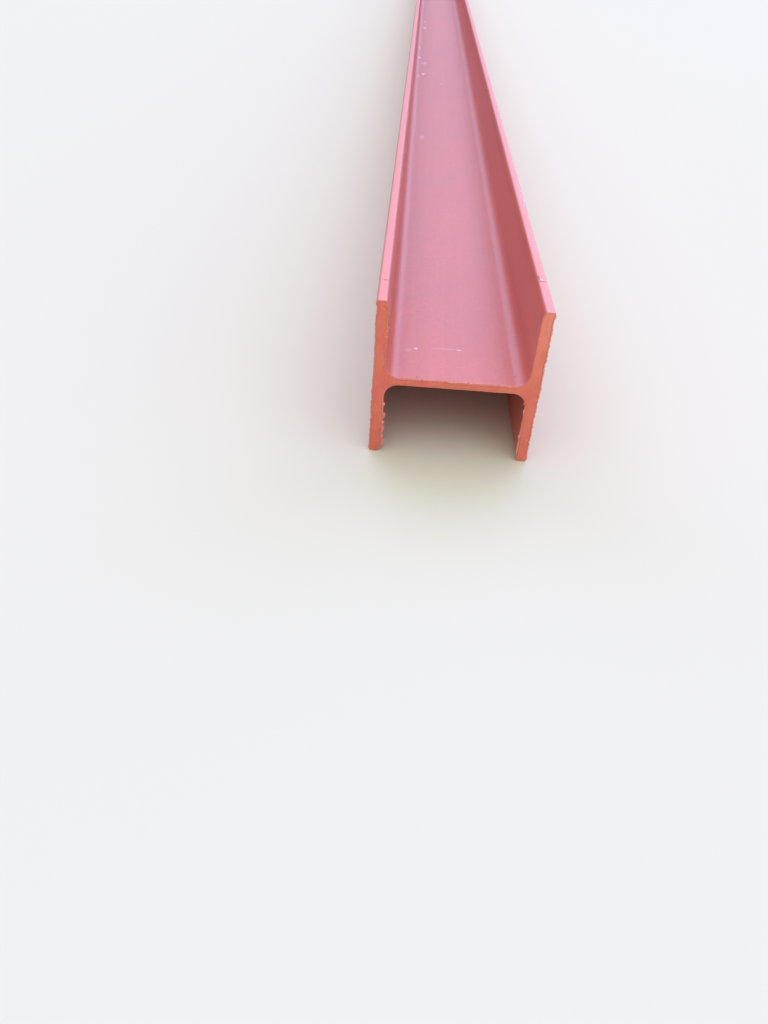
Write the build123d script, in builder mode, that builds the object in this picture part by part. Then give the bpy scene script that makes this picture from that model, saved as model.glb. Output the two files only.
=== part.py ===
from build123d import *
import os

# Hot-rolled steel I-beam with wide parallel flanges, a six metre stock length sawn square at both ends.
# It lies on the toes of its flanges with the web level.
# X runs across from flange to flange, Y along the beam and Z up.
# The origin is at the middle of the length, on the floor halfway between the two lower toes.

# Driving dimensions, in millimetres
beam_length = 6000.0
section_depth = 180.0  # over the outer faces of the two flanges
flange_width = 180.0  # from the lower toes to the upper toes
flange_thickness = 14.0
web_thickness = 8.5
root_radius = 15.0  # hollow fillet where the web runs into a flange
toe_radius = 3.0  # rolled rounding along both edges of every toe

# A rounding takes at most this share of the flange's thickness, so a flat strip is left along the toe
largest_toe_share = 0.45
toe_rounding = min(toe_radius, largest_toe_share * flange_thickness)

# Distances from the middle of the section
outer_face = section_depth / 2
inner_face = outer_face - flange_thickness
toe_height = flange_width / 2
web_face = web_thickness / 2

# The section stands across the far end of the beam, centred on the web
section_plane = Plane(origin=(0, beam_length / 2, toe_height), x_dir=(1, 0, 0), z_dir=(0, -1, 0))

with BuildPart() as i_beam:
    with BuildSketch(section_plane):
        with BuildLine() as outline:
            # One half, from the middle of the web round the root and the flange and back under the web
            FilletPolyline(
                (0, web_face),
                (inner_face, web_face),
                (inner_face, toe_height),
                (outer_face, toe_height),
                (outer_face, -toe_height),
                (inner_face, -toe_height),
                (inner_face, -web_face),
                (0, -web_face),
                radius=[root_radius, toe_rounding, toe_rounding, toe_rounding, toe_rounding, root_radius],
            )
            mirror(outline.line, about=Plane.YZ)
        make_face()
    extrude(amount=beam_length)

os.makedirs("parts", exist_ok=True)
i_beam.part.label = "i_beam"
export_step(i_beam.part, "parts/i_beam.step")
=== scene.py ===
import math
from collections import namedtuple

import bpy
import numpy as np
from mathutils import Matrix, Vector, noise


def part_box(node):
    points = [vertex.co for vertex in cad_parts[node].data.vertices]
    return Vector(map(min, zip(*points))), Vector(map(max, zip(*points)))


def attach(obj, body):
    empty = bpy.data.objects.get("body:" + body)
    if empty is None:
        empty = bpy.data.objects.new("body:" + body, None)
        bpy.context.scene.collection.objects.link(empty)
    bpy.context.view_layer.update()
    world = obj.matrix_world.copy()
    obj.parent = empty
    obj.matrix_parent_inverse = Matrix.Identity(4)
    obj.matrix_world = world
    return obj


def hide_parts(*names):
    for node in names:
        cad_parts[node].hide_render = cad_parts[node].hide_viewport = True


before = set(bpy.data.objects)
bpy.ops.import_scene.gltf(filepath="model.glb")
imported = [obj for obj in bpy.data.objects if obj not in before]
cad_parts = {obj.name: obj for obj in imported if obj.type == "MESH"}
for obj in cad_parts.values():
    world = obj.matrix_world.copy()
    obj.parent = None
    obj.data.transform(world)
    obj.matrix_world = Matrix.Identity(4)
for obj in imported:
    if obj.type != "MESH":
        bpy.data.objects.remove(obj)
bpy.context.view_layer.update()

# A steel I-beam in red oxide primer. It lies on its flange toes, runs along Y and is sawn off at both ends.
# All sizes are in metres, in the frame's own axes: X across, Y along the beam and Z up.

MM = 0.001

# The rolled section
FLANGE_THICKNESS = 14 * MM
WEB_THICKNESS = 8.5 * MM
ROOT_RADIUS = 15 * MM
# A toe's outer edge is rounded off over this width of its top and this height of its side
TOE_RADIUS = 3 * MM
TOE_FALL = 6 * MM
# Its inner edge is rounded off more widely
INNER_TOE_RADIUS = 5 * MM
INNER_TOE_FALL = 13 * MM
# The inner rounding counts as toe as far as this angle, and from there on as the flange's inner face
INNER_TOE_ENDS = 150

LOW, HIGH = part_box("i_beam")
HALF_DEPTH = (HIGH.x - LOW.x) / 2
HALF_WIDTH = (HIGH.z - LOW.z) / 2
MID_HEIGHT = (HIGH.z + LOW.z) / 2
INNER_FACE = HALF_DEPTH - FLANGE_THICKNESS
WEB_FACE = WEB_THICKNESS / 2

# The photograph's camera, placed from the middle of the near end at floor level
CAMERA_ASIDE = -0.0648
CAMERA_BACK = 0.735
CAMERA_HEIGHT = 0.5064
CAMERA_PITCH = math.radians(38.97)
CAMERA_YAW = math.radians(-0.15)
CAMERA_ROLL = math.radians(-4.175)
CAMERA_LENS = 27.65
SENSOR_LONG_SIDE = 36.0

# How finely the outline is cut up
OUTLINE_STEP = 0.8 * MM
TOE_STEPS = 9
INNER_TOE_STEPS = 12
ROOT_STEPS = 16


# The outline of the section

# Its points, their outward directions and zones, how far round each point is, and the whole way round
Outline = namedtuple("Outline", "places normals zones along girth")


def line(start, end, normal, zone):
    """Points from start up to, but not including, end: (x, z, normal x, normal z, zone)."""
    start, end = np.array(start), np.array(end)
    count = math.ceil(np.linalg.norm(end - start) / OUTLINE_STEP)
    return [(*(start + (end - start) * i / count), *normal, zone) for i in range(count)]


def arc(centre, radius, first, last, steps, zone, tall=None):
    """Points round an arc from first to last degrees, without its last one.
    A hollow arc has a negative radius. An arc that is taller than wide has its height as well."""
    tall = tall or radius
    points = []
    for i in range(steps):
        angle = math.radians(first + (last - first) * i / steps)
        normal = (math.cos(angle), math.sin(angle))
        points.append((centre[0] + radius * normal[0], centre[1] + tall * normal[1], *normal, zone))
    return points


def quarter():
    """From the middle of the right outer face up over the toe and down to the middle of the web."""
    x, z, toe, fall, root = HALF_DEPTH, HALF_WIDTH, TOE_RADIUS, TOE_FALL, ROOT_RADIUS
    inner, inner_fall = INNER_TOE_RADIUS, INNER_TOE_FALL
    inner_centre = (INNER_FACE + inner, z - inner_fall)
    return (
        line((x, 0), (x, z - fall), (1, 0), "outer")
        + arc((x - toe, z - fall), toe, 0, 90, TOE_STEPS, "toe", fall)
        + line((x - toe, z), (INNER_FACE + inner, z), (0, 1), "toe")
        + arc(inner_centre, inner, 90, INNER_TOE_ENDS, INNER_TOE_STEPS, "toe", inner_fall)
        + arc(inner_centre, inner, INNER_TOE_ENDS, 180, TOE_STEPS, "inner", inner_fall)
        + line((INNER_FACE, z - inner_fall), (INNER_FACE, WEB_FACE + root), (-1, 0), "inner")
        + arc((INNER_FACE - root, WEB_FACE + root), -root, 180, 90, ROOT_STEPS, "root")
        + line((INNER_FACE - root, WEB_FACE), (0, WEB_FACE), (0, 1), "web")
        + [(0, WEB_FACE, 0, 1, "web")]
    )


def section_outline():
    """The whole outline, anticlockwise seen from the near end, from the middle of the right outer face."""
    part = quarter()
    loop = []
    for across, up in ((1, 1), (-1, 1), (-1, -1), (1, -1)):
        points = [(x * across, z * up, nx * across, nz * up, zone) for x, z, nx, nz, zone in part]
        loop += points[:-1] if across == up else points[:0:-1]
    places = np.array([point[:2] for point in loop])
    steps = np.linalg.norm(np.roll(places, -1, axis=0) - places, axis=1)
    along = np.concatenate([[0], np.cumsum(steps)[:-1]])
    normals = np.array([point[2:4] for point in loop])
    return Outline(places, normals, [point[4] for point in loop], along, float(steps.sum()))


# The sawn ends

# What the saw left along an edge, in millimetres: a burr stands out past the edge and a chip is broken away.
# The lip is how much of the edge is rolled over into a pale lip with a groove beside it, from 0 to 1. The
# lip's paleness is partly worn paint and partly a painted highlight, and the groove's darkness is painted
# shade.
Edge = namedtuple("Edge", "burr chip lip")

NEAR_EDGES = {
    ("outer", "left", "above"): Edge(2.0, 0.5, 0.6),
    ("outer", "left", "below"): Edge(1.6, 0.3, 0.6),
    ("outer", "right", "above"): Edge(1.7, 0.5, 1.0),
    ("outer", "right", "below"): Edge(2.2, 0.8, 0.9),
    ("inner", "left", "above"): Edge(1.3, 0.7, 0.3),
    ("inner", "left", "below"): Edge(2.4, 0.4, 0.9),
    ("inner", "right", "above"): Edge(0.3, 0.2, 0.25),
    ("inner", "right", "below"): Edge(0.9, 0.4, 0.8),
    ("root", "left", "above"): Edge(0.35, 0, 0.3),
    ("root", "left", "below"): Edge(0.4, 0, 0.3),
    ("root", "right", "above"): Edge(0.25, 0, 0.3),
    ("root", "right", "below"): Edge(0.8, 0, 0.45),
    ("web", "left", "above"): Edge(0.8, 0.3, 0.8),
    ("web", "right", "above"): Edge(0.7, 0.3, 0.7),
    ("web", "left", "below"): Edge(0.5, 0, 0.5),
    ("web", "right", "below"): Edge(0.5, 0, 0.55),
}
FAR_EDGES = {
    "outer": Edge(1.2, 0.6, 0.6),
    "inner": Edge(1.1, 0.4, 0.5),
    "root": Edge(0.4, 0, 0.5),
    "web": Edge(0.6, 0.2, 0.6),
}
TOE_EDGE = Edge(0, 0.4, 0.3)

# Single marks that show on the near end: zone, side, height of the middle, length and relief, in millimetres
Mark = namedtuple("Mark", "zone side height length relief")
NEAR_MARKS = (
    Mark("inner", "left", 126, 11, -0.9),
    Mark("inner", "left", 149, 8, 1.4),
    Mark("inner", "left", 162, 12, 0.9),
    Mark("inner", "left", 12, 8, 1.6),
    Mark("inner", "left", 46, 10, 1.0),
    Mark("outer", "left", 133, 7, -0.9),
    Mark("outer", "left", 121, 6, -1.1),
    Mark("outer", "right", 76, 6, -1.0),
    Mark("outer", "right", 52, 9, -0.9),
    Mark("outer", "right", 120, 8, -0.8),
    Mark("outer", "right", 175, 4, 1.2),
    Mark("inner", "left", 140, 6, 1.3),
)

LOBE_PITCH = 5.0 * MM
LOBE_SHORTEST, LOBE_LONGEST = 0.45, 1.6
LOWEST_LOBE = 0.3
PATCH_PITCH = 26 * MM
# The least share that is left of a burr, a chip or a lip between two patches
LEAST_BURR, LEAST_CHIP, LEAST_LIP = 0.25, 0.3, 0.15
# How often the changes from one kind of edge to the next, and the finished relief, are evened out
KIND_SOFTENING, RELIEF_SOFTENING = 4, 1
# Where the random lobes and the slow patches of each end start from
NEAR_SEEDS, FAR_SEEDS = (5, 2.5), (6, 7.5)


def edge_kind(place, zone, near):
    if zone == "toe":
        return TOE_EDGE
    if not near:
        return FAR_EDGES[zone]
    return NEAR_EDGES[zone, "right" if place[0] > 0 else "left", "above" if place[1] > 0 else "below"]


def lobes(along, girth, random):
    """Rounded lobes of uneven size along the edge, as a saw leaves them: 0 in a notch, up to 1 on a lobe."""
    ends, heights = [0.0], []
    while ends[-1] < girth:
        ends.append(ends[-1] + LOBE_PITCH * random.uniform(LOBE_SHORTEST, LOBE_LONGEST))
        heights.append(random.uniform(LOWEST_LOBE, 1.0))
    ends = np.array(ends)
    number = np.searchsorted(ends, along, side="right") - 1
    part = (along - ends[number]) / (ends[number + 1] - ends[number])
    return np.array(heights)[number] * (1 - np.abs(2 * part - 1) ** 3)


def patches(along, pitch, seed):
    """Slow changes along the edge, from 0 to 1."""
    return np.array([0.5 + 0.9 * noise.noise(Vector((s / pitch, seed, 0.5))) for s in along]).clip(0, 1)


def at_least(least, share):
    """A share from 0 to 1, squeezed into the range from least to 1."""
    return least + (1 - least) * share


def soften(values, times):
    """Evens out values round the closed outline."""
    for _ in range(times):
        values = (np.roll(values, 1) + 2 * values + np.roll(values, -1)) / 4
    return values


def mark_relief(outline, marks):
    """Single lobes and notches, each rounded off over its own stretch of the outline."""
    relief = np.zeros(len(outline.places))
    for mark in marks:
        for i, ((x, z), zone) in enumerate(zip(outline.places, outline.zones)):
            if zone == mark.zone and (x > 0) == (mark.side == "right"):
                off = abs((z + MID_HEIGHT) / MM - mark.height) / (mark.length / 2)
                relief[i] += mark.relief * MM * max(0.0, 1 - off * off) ** 0.7
    return relief


def edge_relief(outline, near):
    """How far each outline point stands out at the cut, in metres, and how much of a lip it has."""
    lobe_seed, patch_seed = NEAR_SEEDS if near else FAR_SEEDS
    random = np.random.default_rng(lobe_seed)
    kinds = [edge_kind(place, zone, near) for place, zone in zip(outline.places, outline.zones)]
    burr, chip, lip = (soften(np.array(values), KIND_SOFTENING) for values in zip(*kinds))
    lobe = lobes(outline.along, outline.girth, random)
    bite = lobes(outline.along, outline.girth, random)
    patch = patches(outline.along, PATCH_PITCH, patch_seed)
    pushed_out = burr * lobe * at_least(LEAST_BURR, patch)
    broken_off = chip * bite * at_least(LEAST_CHIP, 1 - patch)
    relief = MM * (pushed_out - broken_off)
    if near:
        relief += mark_relief(outline, NEAR_MARKS)
    lip = lip * at_least(LEAST_LIP, patches(outline.along, PATCH_PITCH / 2, patch_seed + 1))
    return soften(relief, RELIEF_SOFTENING), lip


# Rings from the middle of the cut to its edge: how far inside the outline, and which share of the groove's
# depth they have. The first distance and a toe's deepest chip together stay below TOE_RADIUS, because the
# rings would cross inside the toe otherwise.
CUT_RINGS = ((2.5 * MM, 0), (2.1 * MM, 1), (1.6 * MM, 0.2), (0.9 * MM, 0), (0.3 * MM, 0))
LIP_WIDTH = 1.3 * MM
GROOVE_DEPTH = 0.5 * MM
# How far the lip is rounded off backwards at the very edge, and how soon that ends along the rolled faces
LIP_FALL = 1.4 * MM
LIP_FALL_REACH = 4 * MM
# Rings behind the cut: how far along the beam, and which share of the relief is left there
SIDE_RINGS = (
    (0.08 * MM, 0.55), (0.25 * MM, 1.0), (0.55 * MM, 0.85), (0.95 * MM, 0.55), (1.5 * MM, 0.28),
    (2.2 * MM, 0.12), (3.2 * MM, 0.04), (4.5 * MM, 0), (12 * MM, 0), (24 * MM, 0), (36 * MM, 0),
)
# How far a burr leans back along the beam, as a share of how far it stands out
BURR_LEAN = 0.3
# Pale crumb marks on the rolled faces, partly a painted highlight, end this far behind the cut, and this
# share of them is there without a lip
CRUMBS_REACH = 3 * MM
LEAST_CRUMBS = 0.25
# The outer faces are drawn in by this much over this length, so that the burr along them stays within the
# beam's own size
BURR_ROOM = 1.1 * MM
BURR_ROOM_LENGTH = 48 * MM
ARRIS = 0.25 * MM
# From here on the saw has left no trace
SOUND_STEEL = 50 * MM


# Points, with how pale a lip and how dark a groove each of them has, from 0 to 1
Ring = namedtuple("Ring", "points lip groove")


def set_ring(places, distance, near):
    """Points of the section at a distance from the cut, which may differ from point to point."""
    distance = np.broadcast_to(distance, len(places))
    y = LOW.y + distance if near else HIGH.y - distance
    return np.column_stack([places[:, 0], y, places[:, 1] + MID_HEIGHT])


def drawn_in(outline, distance):
    """The outline at a distance from the cut, with its outer faces drawn in to leave room for the burr."""
    room = BURR_ROOM * max(0.0, 1 - distance / BURR_ROOM_LENGTH) ** 1.5
    outer = soften(np.array([zone == "outer" for zone in outline.zones], float), 3)
    return outline.places - outline.normals * (outer * room)[:, None]


def kept_inside(places):
    return places.clip((-HALF_DEPTH, -HALF_WIDTH), (HALF_DEPTH, HALF_WIDTH))


def end_rings(outline, near):
    """The cut's rings from its middle outwards, then the rings behind its edge."""
    relief, lip = edge_relief(outline, near)
    rings = []
    for inset, groove in CUT_RINGS:
        places = kept_inside(drawn_in(outline, 0) + outline.normals * (relief - inset)[:, None])
        grooved = groove * lip
        pale = lip if inset < LIP_WIDTH else np.zeros(len(lip))
        fall = LIP_FALL * lip * max(0.0, 1 - inset / LIP_WIDTH) ** 2
        rings.append(Ring(set_ring(places, GROOVE_DEPTH * grooved + fall, near), pale, grooved))
    for distance, share in SIDE_RINGS:
        worn = ARRIS * max(0.0, 1 - distance / ARRIS)
        stands_out = outline.normals * (relief * share - worn)[:, None]
        places = kept_inside(drawn_in(outline, distance) + stands_out)
        fall = LIP_FALL * lip * max(0.0, 1 - distance / LIP_FALL_REACH)
        lean = BURR_LEAN * np.maximum(relief, 0) * share
        pale = at_least(LEAST_CRUMBS, lip) * max(0.0, 1 - distance / CRUMBS_REACH)
        rings.append(Ring(set_ring(places, distance + fall + lean, near), pale, np.zeros(len(places))))
    blank = np.zeros(len(relief))
    rings.append(Ring(set_ring(outline.places, SOUND_STEEL, near), blank, blank))
    return rings


# The run between the ends

RUN_PITCH = 150 * MM
# The right flange's upper toe is knocked rough along its outer edge, this far from the near end
WORN_FROM, WORN_TO = 285 * MM, 445 * MM
WORN_PITCH = 2.5 * MM
WORN_DEPTH = 0.9 * MM
# The wear sets in over this length at both its ends
WORN_FADE = 12 * MM
# A knock cuts the edge off at a slant: its share across and down
WORN_SLANT = np.array([0.8, 0.6])
# Between an end's last full ring and the run's first sparse one
FAN_LENGTH = 30 * MM


def run_stations():
    """Places along the beam of the run's rings, closer together where the toe is worn."""
    first = LOW.y + SOUND_STEEL + FAN_LENGTH
    worn_first = LOW.y + WORN_FROM
    worn_last = LOW.y + WORN_TO
    last = HIGH.y - SOUND_STEEL - FAN_LENGTH
    stations = []
    for start, end, pitch in (
        (first, worn_first, RUN_PITCH),
        (worn_first, worn_last, WORN_PITCH),
        (worn_last, last, RUN_PITCH),
    ):
        count = max(1, round((end - start) / pitch))
        stations += [start + (end - start) * i / count for i in range(count)]
    return stations + [last]


def worn_toe(places, y):
    """Knocks chips out of the right flange's upper outer edge."""
    distance = y - LOW.y
    inside = min(distance - WORN_FROM, WORN_TO - distance) / WORN_FADE
    if inside <= 0:
        return places
    moved = places.copy()
    for i, (x, z) in enumerate(places):
        if x > HALF_DEPTH - TOE_RADIUS and z > HALF_WIDTH - TOE_RADIUS - 0.1 * MM:
            coarse = noise.noise(Vector((y / (6 * MM), x / (3 * MM), 4.2)))
            fine = noise.noise(Vector((y / (2.6 * MM), z / MM, 1.3)))
            depth = WORN_DEPTH * min(1.0, inside) * max(0.0, coarse + 0.5 * fine + 0.15)
            moved[i] -= depth * WORN_SLANT
    return moved


# Along a flat, the run keeps one outline point in so many
FLAT_STRIDE = 40


def sparse_points(outline):
    """Numbers of the outline points that the run keeps: every one on an arc, and a few on each flat."""
    turning = np.linalg.norm(np.roll(outline.normals, -1, axis=0) - outline.normals, axis=1) > 1e-6
    keep = turning | np.roll(turning, 1) | np.roll(turning, -1)
    middles = [i for i in range(len(keep)) if not keep[i] and i % FLAT_STRIDE == 0]
    return sorted(set(np.flatnonzero(keep)) | set(middles))


# The beam's mesh

# Numbers of the beam's two materials
ROLLED, SAWN = 0, 1
# The outermost strips of the cut are the lip, whose paint is that of the rolled faces
SAWN_STRIPS = len(CUT_RINGS) - 2
# Faces with more corners than this are the flat middles of the cuts
MOST_SMOOTH_CORNERS = 1000


class BeamMesh:
    """Gathers the rings' points, with their lip and groove, and the faces between them."""

    def __init__(self):
        self.points, self.lip, self.groove = [], [], []
        self.faces, self.materials = [], []

    def ring(self, ring):
        start = len(self.points)
        self.points.extend(ring.points.tolist())
        self.lip.extend(ring.lip.tolist())
        self.groove.extend(ring.groove.tolist())
        return start

    def face(self, corners, material):
        self.faces.append(corners)
        self.materials.append(material)

    def strip(self, first, second, count, material):
        """Quads from one ring to the next of the same count."""
        for i in range(count):
            j = (i + 1) % count
            self.face([first + i, second + i, second + j, first + j], material)

    def fan(self, full, sparse, kept, count, forward):
        """Faces from a full ring to one that has only the kept points."""
        for number, i in enumerate(kept):
            after = (number + 1) % len(kept)
            between = [full + (i + step) % count for step in range((kept[after] - i) % count + 1)]
            corners = [sparse + number, sparse + after] + between[::-1]
            self.face(corners if forward else corners[::-1], ROLLED)


def beam_mesh():
    """Both sawn ends, the run between them, and the fans that join the two."""
    outline = section_outline()
    count = len(outline.places)
    kept = sparse_points(outline)
    body = BeamMesh()

    def end(near):
        starts = [body.ring(ring) for ring in end_rings(outline, near)]
        cap = [starts[0] + i for i in range(count)]
        body.face(cap if near else cap[::-1], SAWN)
        for number, (a, b) in enumerate(zip(starts, starts[1:])):
            a, b = (a, b) if near else (b, a)
            body.strip(a, b, count, SAWN if number < SAWN_STRIPS else ROLLED)
        return starts[-1]

    near_start, far_start = end(True), end(False)
    sparse = outline.places[kept]
    blank = np.zeros(len(kept))
    starts = []
    for y in run_stations():
        places = worn_toe(sparse, y)
        starts.append(body.ring(Ring(set_ring(places, y - LOW.y, True), blank, blank)))
    body.fan(near_start, starts[0], kept, count, True)
    for a, b in zip(starts, starts[1:]):
        body.strip(a, b, len(kept), ROLLED)
    body.fan(far_start, starts[-1], kept, count, False)
    return body


def to_mesh(body, name):
    mesh = bpy.data.meshes.new(name)
    mesh.from_pydata(body.points, [], body.faces)
    for attribute, values in (("lip", body.lip), ("groove", body.groove)):
        mesh.attributes.new(attribute, "FLOAT", "POINT").data.foreach_set("value", values)
    mesh.polygons.foreach_set("material_index", body.materials)
    smooth = [len(face) < MOST_SMOOTH_CORNERS for face in body.faces]
    mesh.polygons.foreach_set("use_smooth", smooth)
    mesh.update()
    return mesh


# Curled flakes of burr that hang from the sawn edges

# In millimetres: across from the middle of the section, height of the middle, which way it sticks out,
# its height and its reach; and how far it curls round, in degrees
Flake = namedtuple("Flake", "x z side tall reach curl")
INNER_MM, LEFT, RIGHT = INNER_FACE / MM, -1, 1
NEAR_FLAKES = (
    Flake(-INNER_MM, 61, RIGHT, 5, 1.8, 70),
    Flake(-INNER_MM, 47, RIGHT, 8, 2.6, 95),
    Flake(-INNER_MM, 38, RIGHT, 5, 2.0, 60),
    Flake(-INNER_MM, 30, RIGHT, 9, 2.4, 110),
    Flake(-INNER_MM, 20, RIGHT, 4, 1.5, 80),
    Flake(-INNER_MM, 12, RIGHT, 7, 3.2, 120),
    Flake(-INNER_MM, 149, RIGHT, 6, 1.6, 60),
    Flake(INNER_MM - 1.2, 75, LEFT, 4, 0.8, 50),
    Flake(INNER_MM, 65, LEFT, 5, 0.9, 50),
    Flake(INNER_MM, 33, LEFT, 5, 1.2, 70),
)
FAR_FLAKES = (
    Flake(-INNER_MM, 40, RIGHT, 7, 2.0, 90),
    Flake(INNER_MM, 52, LEFT, 6, 2.2, 80),
    Flake(INNER_MM, 27, LEFT, 8, 1.8, 110),
    Flake(INNER_MM, 140, LEFT, 5, 1.4, 70),
)
FLAKE_THICKNESS = 0.35 * MM
FLAKE_ROOT = 0.5 * MM
FLAKE_STEPS = 8


def flake_point(flake, near, across, up, layer):
    """A point of the curl: across from its root to its free edge and up its height, both from 0 to 1.
    The layer is -1 on its inside and 1 on its outside."""
    turn = math.radians(flake.curl) * across
    radius = flake.reach * MM / math.sin(min(math.pi / 2, math.radians(flake.curl)))
    ragged = noise.noise(Vector((flake.z, 3 * up, 2 * across)))
    taper = 1 - 0.55 * across ** 2 + 0.35 * ragged * across
    thickness = FLAKE_THICKNESS * (1 - 0.5 * across) / 2 * layer
    out = (radius + thickness) * math.sin(turn) - FLAKE_ROOT * (1 - across) + 0.25 * MM * ragged * across
    back = radius - (radius + thickness) * math.cos(turn) + FLAKE_THICKNESS
    z = flake.z * MM + (up - 0.5) * flake.tall * MM * taper
    y = LOW.y + back if near else HIGH.y - back
    return (flake.x * MM + flake.side * out, y, LOW.z + z)


def flake_mesh(flake, near, points, faces):
    """Adds a closed curl: two layers of a grid, joined round their borders."""
    start, steps = len(points), FLAKE_STEPS
    row = steps + 1
    for layer in (-1, 1):
        for i in range(row):
            points += [flake_point(flake, near, i / steps, j / steps, layer) for j in range(row)]

    def at(layer, i, j):
        return start + layer * row * row + i * row + j

    quads = []
    for i in range(steps):
        for j in range(steps):
            quads.append([at(0, i, j), at(0, i, j + 1), at(0, i + 1, j + 1), at(0, i + 1, j)])
            quads.append([at(1, i, j), at(1, i + 1, j), at(1, i + 1, j + 1), at(1, i, j + 1)])
        quads.append([at(0, i, 0), at(0, i + 1, 0), at(1, i + 1, 0), at(1, i, 0)])
        quads.append([at(0, i, steps), at(1, i, steps), at(1, i + 1, steps), at(0, i + 1, steps)])
        quads.append([at(0, 0, i), at(1, 0, i), at(1, 0, i + 1), at(0, 0, i + 1)])
        quads.append([at(0, steps, i), at(0, steps, i + 1), at(1, steps, i + 1), at(1, steps, i)])
    turned = (flake.side > 0) == near
    faces += quads if turned else [quad[::-1] for quad in quads]


def burr_primer():
    """Primer on the thin burr, paler where it is worn on its edges; the pale colour is partly a painted
    highlight.
    """
    material, tree = new_material("burr_primer")
    worn = pattern(tree, (2 * MM, 2 * MM, 3 * MM), 3, 0.6)
    colour = mixed(tree, ramp(tree, worn, 0.4, 0.6), SAWN_RED, LIP_PALE_AND_HIGHLIGHT)
    finish_material(tree, colour, 0.6, worn, 0.1 * MM)
    return material


def make_flakes():
    points, faces = [], []
    for near, flakes in ((True, NEAR_FLAKES), (False, FAR_FLAKES)):
        for flake in flakes:
            flake_mesh(flake, near, points, faces)
    mesh = bpy.data.meshes.new("saw_burr_flakes")
    mesh.from_pydata(points, [], faces)
    mesh.materials.append(burr_primer())
    mesh.polygons.foreach_set("use_smooth", [True] * len(faces))
    mesh.update()
    flakes = bpy.data.objects.new("saw_burr_flakes", mesh)
    bpy.context.scene.collection.objects.link(flakes)
    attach(flakes, "root")


# Materials


def add(tree, kind, inputs=None, **settings):
    """A shader node with its settings and inputs. An input is a value or another node's output."""
    node = tree.nodes.new(kind)
    for name, value in settings.items():
        setattr(node, name, value)
    for name, value in (inputs or {}).items():
        connect(tree, node.inputs[name], value)
    return node


def connect(tree, socket, value):
    if isinstance(value, bpy.types.NodeSocket):
        tree.links.new(value, socket)
    else:
        socket.default_value = value


def maths(tree, operation, *values):
    return add(tree, "ShaderNodeMath", dict(enumerate(values)), operation=operation).outputs[0]


# The mix node's sockets for colours: the share, the two colours, and the result
MIX_INPUTS, MIX_RESULT = (0, 6, 7), 2


def mixed(tree, share, first, second, blend="MIX"):
    """A colour that goes from first to second as share goes from 0 to 1, or has second added to first."""
    node = add(tree, "ShaderNodeMix", data_type="RGBA", blend_type=blend)
    for number, value in zip(MIX_INPUTS, (share, first, second)):
        connect(tree, node.inputs[number], value)
    return node.outputs[MIX_RESULT]


def ramp(tree, value, low, high, top=1.0):
    """Goes smoothly from 0 to top as value goes from low to high."""
    inputs = {"Value": value, "From Min": low, "From Max": high, "To Max": top}
    return add(tree, "ShaderNodeMapRange", inputs, interpolation_type="SMOOTHSTEP").outputs[0]


def beam_place(tree):
    return add(tree, "ShaderNodeTexCoord").outputs["Object"]


def pattern(tree, size, detail, roughness):
    """Noise fixed to the beam, whose features are about size = (x, y, z) metres."""
    mapping = {"Vector": beam_place(tree), "Scale": [1 / s for s in size]}
    scaled = add(tree, "ShaderNodeMapping", mapping).outputs[0]
    inputs = {"Vector": scaled, "Scale": 1.0, "Detail": detail, "Roughness": roughness}
    return add(tree, "ShaderNodeTexNoise", inputs).outputs[0]


def vertex_value(tree, name):
    return add(tree, "ShaderNodeAttribute", attribute_name=name).outputs["Fac"]


def shade(red, green, blue):
    """A colour written as it shows on a screen, from 0 to 255, in the linear values that shaders take."""
    def linear(v):
        v /= 255
        return v / 12.92 if v <= 0.04045 else ((v + 0.055) / 1.055) ** 2.4
    return (linear(red), linear(green), linear(blue), 1)


PRIMER = shade(203, 94, 75)
PRIMER_DARK = shade(193, 86, 68)
PRIMER_LIGHT = shade(215, 107, 88)
SAWN_FACE = shade(220, 114, 94)
SAWN_RED = shade(218, 101, 88)
SAWN_OCHRE = shade(203, 116, 84)
SAWN_PALE = shade(234, 136, 113)
SAWN_DULL = shade(203, 98, 82)
# Pale colours of the lip and crumbs at the cut: partly worn pale paint and partly a painted highlight
LIP_PALE_AND_HIGHLIGHT = shade(240, 172, 160)
LIP_PINK_AND_HIGHLIGHT = shade(246, 166, 166)
# Painted shade of the groove beside the lip, also put on small pits of the sawn face
GROOVE_SHADE = shade(146, 66, 58)
# Paler primer of the toe tops: partly rubbed paint and partly a painted highlight
RUBBED_AND_HIGHLIGHT = shade(222, 120, 107)
SCUFF = shade(226, 196, 206)
DIRT = shade(168, 30, 0)

# A mark in the paint, in millimetres: where across, how far from the near end, its size both ways, and then
# its strength from 0 to 1. On the sawn face the second number is the height above the floor.
Spot = namedtuple("Spot", "x y wide long strength")
WEB_SCUFFS = (
    Spot(-44.9, 70.8, 2.4, 3.2, 1.0),
    Spot(-53.3, 65.9, 5, 5, 0.18),
    Spot(-11, 74.5, 17, 0.8, 0.4),
    Spot(4.5, 74.1, 4, 1.6, 0.8),
    Spot(-47.7, 999, 6, 14, 0.3),
    Spot(-65.2, 1629, 5, 18, 0.5),
    Spot(-52.2, 1661, 6, 20, 0.9),
    Spot(-4.4, 1546, 4, 12, 0.3),
    Spot(-50.9, 1824, 9, 26, 0.5),
    Spot(-66.3, 1898, 6, 26, 0.8),
    Spot(-68.6, 2071, 6, 26, 0.5),
    Spot(-53.3, 2496, 7, 36, 0.8),
    Spot(-54.5, 2643, 6, 36, 0.5),
)
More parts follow.
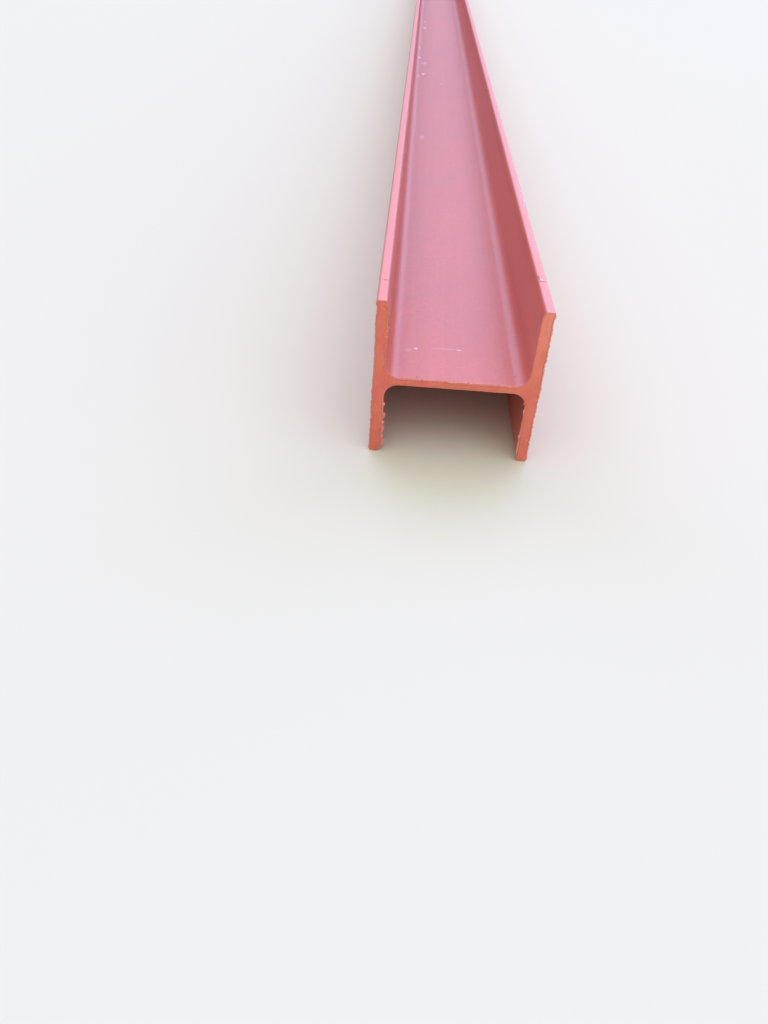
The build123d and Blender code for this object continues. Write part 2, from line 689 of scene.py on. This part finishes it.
WEB_DIRT = (
    Spot(-42.2, 6.2, 1.4, 2.4, 0.9),
    Spot(-36.8, 0.8, 1.5, 2.2, 0.9),
    Spot(13.0, 1.8, 1.4, 2.6, 1.0),
    Spot(63.4, 22.1, 1.2, 2.0, 0.8),
    Spot(-63.3, 29.4, 1.2, 2, 0.6),
    Spot(47, 96, 1.0, 2.2, 0.25),
)
TOE_DIRT = (Spot(-81, 51, 6, 1.6, 0.9), Spot(83, 77, 7, 2.0, 1.0), Spot(80.5, 86, 2.0, 8, 1.0))
TOE_SCUFFS = (Spot(83, 82, 2.2, 2.4, 0.9),)
WORN_PAINT = Spot(88.5, 365, 3.4, 85, 1.0)
SAWN_STAINS = (
    Spot(-77.5, 158, 3.5, 16, 0.9),
    Spot(-84, 150, 4, 9, 0.4),
    Spot(84, 133, 3, 14, 0.5),
    Spot(20, 90, 40, 3, 0.5),
    Spot(80, 40, 4, 26, 0.4),
)
SAWN_CRUMBS = (
    Spot(-76.5, 147, 1.4, 1.8, 0.45),
    Spot(-77.5, 141, 1.4, 1.4, 0.5),
    Spot(-76.8, 153, 1.2, 1.2, 0.4),
    Spot(-78.5, 144, 1.2, 1.0, 0.3),
    Spot(-81, 171, 1.2, 1.2, 0.3),
)
SAWN_PITS = (Spot(-77.2, 119, 0.8, 8, 0.45), Spot(-78.2, 106, 0.8, 2, 0.35), Spot(-79, 172, 1.0, 2.5, 0.3))


# How far a mark reaches through the face it lies on, in millimetres
SPOT_REACH = 6


def spots(tree, places, height=None):
    """The marks' own ragged outlines, on the faces near a height or else on the near end's sawn face."""
    place = beam_place(tree)
    total = 0.0
    for spot in places:
        size = Vector((spot.wide, spot.long, SPOT_REACH)) * MM
        middle = Vector((spot.x * MM, LOW.y + spot.y * MM, height or 0))
        if height is None:
            size, middle = size.xzy, Vector((spot.x * MM, LOW.y, LOW.z + spot.y * MM))
        offset = [-m / s for m, s in zip(middle, size)]
        mapping = {"Vector": place, "Scale": [1 / s for s in size], "Location": offset}
        scaled = add(tree, "ShaderNodeMapping", mapping).outputs[0]
        distance = add(tree, "ShaderNodeVectorMath", {0: scaled}, operation="LENGTH").outputs["Value"]
        ragged = maths(tree, "MULTIPLY_ADD", pattern(tree, size * 0.7, 3, 0.65), 2.6, -1.3)
        share = ramp(tree, maths(tree, "ADD", distance, ragged), 1.0, 0.5, spot.strength)
        total = maths(tree, "MAXIMUM", total, share)
    return total


def new_material(name):
    material = bpy.data.materials.new(name)
    material.use_nodes = True
    material.node_tree.nodes.clear()
    return material, material.node_tree


def finish_material(tree, colour, roughness, height, relief, **shader):
    """Puts the surface together; height is from 0 to 1 and relief its depth in metres."""
    bump = add(tree, "ShaderNodeBump", {"Height": height, "Distance": relief})
    inputs = {"Base Color": colour, "Roughness": roughness, "Normal": bump.outputs[0], **shader}
    if "Coat Weight" in shader:
        inputs["Coat Normal"] = bump.outputs[0]
    surface = add(tree, "ShaderNodeBsdfPrincipled", inputs)
    add(tree, "ShaderNodeOutputMaterial", {"Surface": surface.outputs[0]})


def with_marks(tree, colour):
    """Pale scuffs and dark specks on top of the web and of the toes, and the flaked paint of the worn toe."""
    web, toe = MID_HEIGHT + WEB_FACE, HIGH.z
    colour = mixed(tree, spots(tree, WEB_SCUFFS, web), colour, SCUFF)
    colour = mixed(tree, spots(tree, WEB_DIRT, web), colour, DIRT)
    colour = mixed(tree, spots(tree, TOE_DIRT, toe), colour, DIRT)
    colour = mixed(tree, spots(tree, TOE_SCUFFS, toe), colour, SCUFF)
    worn = spots(tree, [WORN_PAINT], toe)
    flecks = pattern(tree, (2.4 * MM, 5 * MM, 2.4 * MM), 3, 0.6)
    colour = mixed(tree, maths(tree, "MULTIPLY", worn, ramp(tree, flecks, 0.52, 0.6, 0.8)), colour, SCUFF)
    return mixed(tree, maths(tree, "MULTIPLY", worn, ramp(tree, flecks, 0.46, 0.38, 0.8)), colour, DIRT)


def rolled_primer():
    """Satin primer on the rolled faces: faint streaks along the beam, mottling and a fine grain from
    spraying.
    """
    material, tree = new_material("rolled_primer")
    clouds = pattern(tree, (60 * MM, 180 * MM, 60 * MM), 4, 0.5)
    streaks = pattern(tree, (7 * MM, 400 * MM, 7 * MM), 3, 0.5)
    blotches = pattern(tree, (9 * MM, 22 * MM, 9 * MM), 3, 0.55)
    grain = pattern(tree, (1.1 * MM, 1.1 * MM, 1.1 * MM), 3, 0.6)
    peel = pattern(tree, (3.2 * MM, 4 * MM, 3.2 * MM), 2, 0.5)
    colour = mixed(tree, ramp(tree, clouds, 0.3, 0.7), PRIMER_DARK, PRIMER)
    colour = mixed(tree, ramp(tree, streaks, 0.45, 0.75, 0.25), colour, PRIMER_LIGHT)
    colour = mixed(tree, ramp(tree, blotches, 0.5, 0.75, 0.35), colour, PRIMER_DARK)
    colour = mixed(tree, ramp(tree, grain, 0.5, 0.7, 0.35), colour, PRIMER_LIGHT)
    colour = mixed(tree, ramp(tree, peel, 0.5, 0.68, 0.25), colour, PRIMER_LIGHT)
    colour = mixed(tree, ramp(tree, peel, 0.5, 0.32, 0.35), colour, PRIMER_DARK)
    # The toe tops are painted paler: partly rubbed primer and partly a painted highlight.
    z = add(tree, "ShaderNodeSeparateXYZ", {"Vector": beam_place(tree)}).outputs[2]
    off_middle = maths(tree, "ABSOLUTE", maths(tree, "SUBTRACT", z, MID_HEIGHT))
    on_toes = ramp(tree, off_middle, HALF_WIDTH - 1.2 * MM, HALF_WIDTH - 0.1 * MM)
    colour = mixed(tree, on_toes, colour, RUBBED_AND_HIGHLIGHT)
    colour = with_marks(tree, colour)
    # Pale pink crumbs along the cut's edge: partly pale paint and partly a painted highlight.
    crumbs_and_highlight = ramp(tree, pattern(tree, (2.2 * MM, 1.5 * MM, 2.2 * MM), 3, 0.6), 0.42, 0.56, 0.85)
    colour = mixed(tree, maths(tree, "MULTIPLY", vertex_value(tree, "lip"), crumbs_and_highlight), colour, LIP_PINK_AND_HIGHLIGHT)
    roughness = maths(tree, "ADD", 0.46, maths(tree, "MULTIPLY", clouds, 0.12))
    fine = maths(tree, "ADD", maths(tree, "MULTIPLY", grain, 0.1), maths(tree, "MULTIPLY", blotches, 0.3))
    height = maths(tree, "ADD", fine, maths(tree, "MULTIPLY", peel, 0.6))
    coat = {"Coat Weight": 0.75, "Coat Roughness": 0.38, "IOR": 1.55}
    finish_material(tree, colour, roughness, height, 0.3 * MM, **coat)
    return material


def sawn_primer():
    """Primer over the rough cut: matt, with fine upright lines left by the saw, and ochre and red patches. It
    is painted paler towards the upper right as painted light and darker towards the lower left as painted
    shade.
    """
    material, tree = new_material("sawn_primer")
    patch = pattern(tree, (14 * MM, 14 * MM, 24 * MM), 4, 0.6)
    ochre = pattern(tree, (5 * MM, 5 * MM, 16 * MM), 3, 0.6)
    saw_lines = pattern(tree, (1.5 * MM, 60 * MM, 26 * MM), 3, 0.6)
    grain = pattern(tree, (1.3 * MM, 1.3 * MM, 1.3 * MM), 3, 0.65)
    x, _, z = add(tree, "ShaderNodeSeparateXYZ", {"Vector": beam_place(tree)}).outputs
    # Painted light makes the face paler towards the upper right, and painted shade makes it darker towards
    # the lower left.
    painted_light_upper_right = maths(tree, "MULTIPLY", ramp(tree, x, 0, HALF_DEPTH), ramp(tree, z, 0.7 * MID_HEIGHT, HIGH.z))
    painted_shade_lower_left = maths(tree, "MULTIPLY", ramp(tree, x, 0, -HALF_DEPTH), ramp(tree, z, 1.2 * MID_HEIGHT, LOW.z))
    colour = mixed(tree, ramp(tree, patch, 0.38, 0.62), SAWN_RED, SAWN_FACE)
    colour = mixed(tree, painted_light_upper_right, colour, SAWN_PALE)
    colour = mixed(tree, maths(tree, "MULTIPLY", painted_shade_lower_left, 0.8), colour, SAWN_DULL)
    colour = mixed(tree, ramp(tree, ochre, 0.52, 0.72, 0.6), colour, SAWN_OCHRE)
    colour = mixed(tree, ramp(tree, saw_lines, 0.5, 0.7, 0.3), colour, SAWN_PALE)
    colour = mixed(tree, spots(tree, SAWN_STAINS), colour, SAWN_OCHRE)
    speckle = pattern(tree, (2.4 * MM, 2.4 * MM, 3.2 * MM), 4, 0.7)
    colour = mixed(tree, ramp(tree, speckle, 0.54, 0.7, 0.55), colour, SAWN_OCHRE)
    colour = mixed(tree, ramp(tree, speckle, 0.46, 0.3, 0.5), colour, SAWN_DULL)
    colour = mixed(tree, ramp(tree, grain, 0.54, 0.66, 0.55), colour, SAWN_OCHRE)
    colour = mixed(tree, ramp(tree, grain, 0.44, 0.34, 0.5), colour, SAWN_PALE)
    # Pale crumbs on the sawn face: partly pale paint and partly a painted highlight.
    colour = mixed(tree, spots(tree, SAWN_CRUMBS), colour, LIP_PALE_AND_HIGHLIGHT)
    # The small pits are painted in the groove's dark shade colour.
    colour = mixed(tree, spots(tree, SAWN_PITS), colour, GROOVE_SHADE)
    # The frayed lip round the cut is painted pale: partly worn paint and partly a painted highlight.
    frayed_and_highlight = ramp(tree, pattern(tree, (2.6 * MM, 2.6 * MM, 4 * MM), 3, 0.6), 0.36, 0.58, 0.95)
    colour = mixed(tree, maths(tree, "MULTIPLY", vertex_value(tree, "lip"), frayed_and_highlight), colour, LIP_PALE_AND_HIGHLIGHT)
    # The groove beside the lip is painted dark as its shade.
    colour = mixed(tree, maths(tree, "MULTIPLY", vertex_value(tree, "groove"), 0.9), colour, GROOVE_SHADE)
    roughness = maths(tree, "ADD", 0.58, maths(tree, "MULTIPLY", grain, 0.2))
    height = maths(tree, "ADD", maths(tree, "MULTIPLY", grain, 0.4), maths(tree, "MULTIPLY", saw_lines, 0.6))
    finish_material(tree, colour, roughness, height, 0.15 * MM)
    return material


def make_beam():
    mesh = to_mesh(beam_mesh(), "i_beam_primed")
    mesh.materials.append(rolled_primer())
    mesh.materials.append(sawn_primer())
    beam = bpy.data.objects.new("i_beam_primed", mesh)
    bpy.context.scene.collection.objects.link(beam)
    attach(beam, "root")
    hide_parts("i_beam")


# The studio

FLOOR_HALF = 30.0
FLOOR_GAP = 0.1 * MM
FLOOR_COLOUR = (0.74, 0.74, 0.68, 1)


def make_floor():
    mesh = bpy.data.meshes.new("floor")
    half, z = FLOOR_HALF, LOW.z - FLOOR_GAP
    corners = [(-half, -half, z), (half, -half, z), (half, half, z), (-half, half, z)]
    mesh.from_pydata(corners, [], [(0, 1, 2, 3)])
    material, tree = new_material("pale_floor")
    inputs = {"Base Color": FLOOR_COLOUR, "Roughness": 0.9, "Specular IOR Level": 0.2}
    surface = add(tree, "ShaderNodeBsdfPrincipled", inputs)
    add(tree, "ShaderNodeOutputMaterial", {"Surface": surface.outputs[0]})
    mesh.materials.append(material)
    floor = bpy.data.objects.new("floor", mesh)
    bpy.context.scene.collection.objects.link(floor)


# Radiance of each part of the studio
SIDES = (0.19, 0.19, 0.185, 1)
OVERHEAD = (1.16, 1.16, 1.02, 1)
FRONT_FILL = (0.72, 0.71, 0.64, 1)
RIGHT_FILL = (0.76, 0.80, 1.02, 1)
SOFTBOX = (2.30, 2.34, 3.78, 1)
# How much lower the softbox hangs towards each side
SOFTBOX_DROP_LEFT = 0.2
SOFTBOX_DROP_RIGHT = 0.7
# The colour the floor takes in this light, so that the two meet without a line
BACKDROP = shade(242, 242, 245)


def make_world():
    """Soft light from above, in front and the right, and a cool softbox high behind, lower at its sides."""
    world = bpy.data.worlds.new("studio")
    world.use_nodes = True
    bpy.context.scene.world = world
    tree = world.node_tree
    tree.nodes.clear()
    direction = add(tree, "ShaderNodeTexCoord").outputs["Generated"]
    x, y, z = add(tree, "ShaderNodeSeparateXYZ", {"Vector": direction}).outputs

    def both(first, second):
        return maths(tree, "MULTIPLY", first, second)

    light = mixed(tree, ramp(tree, z, 0.50, 0.85), SIDES, OVERHEAD)
    in_front = both(ramp(tree, y, 0.0, -0.85), ramp(tree, z, -0.02, 0.2))
    light = mixed(tree, in_front, light, FRONT_FILL, "ADD")
    low_band = both(ramp(tree, z, -0.02, 0.1), ramp(tree, z, 0.6, 0.35))
    light = mixed(tree, both(ramp(tree, x, 0.1, 0.8), low_band), light, RIGHT_FILL, "ADD")
    drop_right = both(maths(tree, "MAXIMUM", x, 0.0), SOFTBOX_DROP_RIGHT)
    drop_left = both(maths(tree, "MINIMUM", x, 0.0), -SOFTBOX_DROP_LEFT)
    drop = both(maths(tree, "ADD", drop_left, drop_right), ramp(tree, y, 0.60, 0.80))
    box_height = both(ramp(tree, maths(tree, "ADD", z, drop), 0.24, 0.52), ramp(tree, z, 0.98, 0.80))
    light = mixed(tree, both(ramp(tree, y, 0.38, 0.72), box_height), light, SOFTBOX)
    camera_ray = add(tree, "ShaderNodeLightPath").outputs["Is Camera Ray"]
    colour = mixed(tree, camera_ray, light, BACKDROP)
    background = add(tree, "ShaderNodeBackground", {"Color": colour, "Strength": 1.0})
    add(tree, "ShaderNodeOutputWorld", {"Surface": background.outputs[0]})


def make_camera():
    data = bpy.data.cameras.new("camera")
    data.lens = CAMERA_LENS
    data.sensor_width = SENSOR_LONG_SIDE
    camera = bpy.data.objects.new("camera", data)
    place = Matrix.Translation((CAMERA_ASIDE, LOW.y - CAMERA_BACK, CAMERA_HEIGHT))
    turn = Matrix.Rotation(-CAMERA_YAW, 4, "Z") @ Matrix.Rotation(math.pi / 2 - CAMERA_PITCH, 4, "X")
    camera.matrix_world = place @ turn @ Matrix.Rotation(-CAMERA_ROLL, 4, "Z")
    bpy.context.scene.collection.objects.link(camera)
    bpy.context.scene.camera = camera


make_beam()
make_flakes()
make_floor()
make_world()
make_camera()
bpy.context.scene.view_settings.view_transform = "Standard"

bpy.context.view_layer.update()
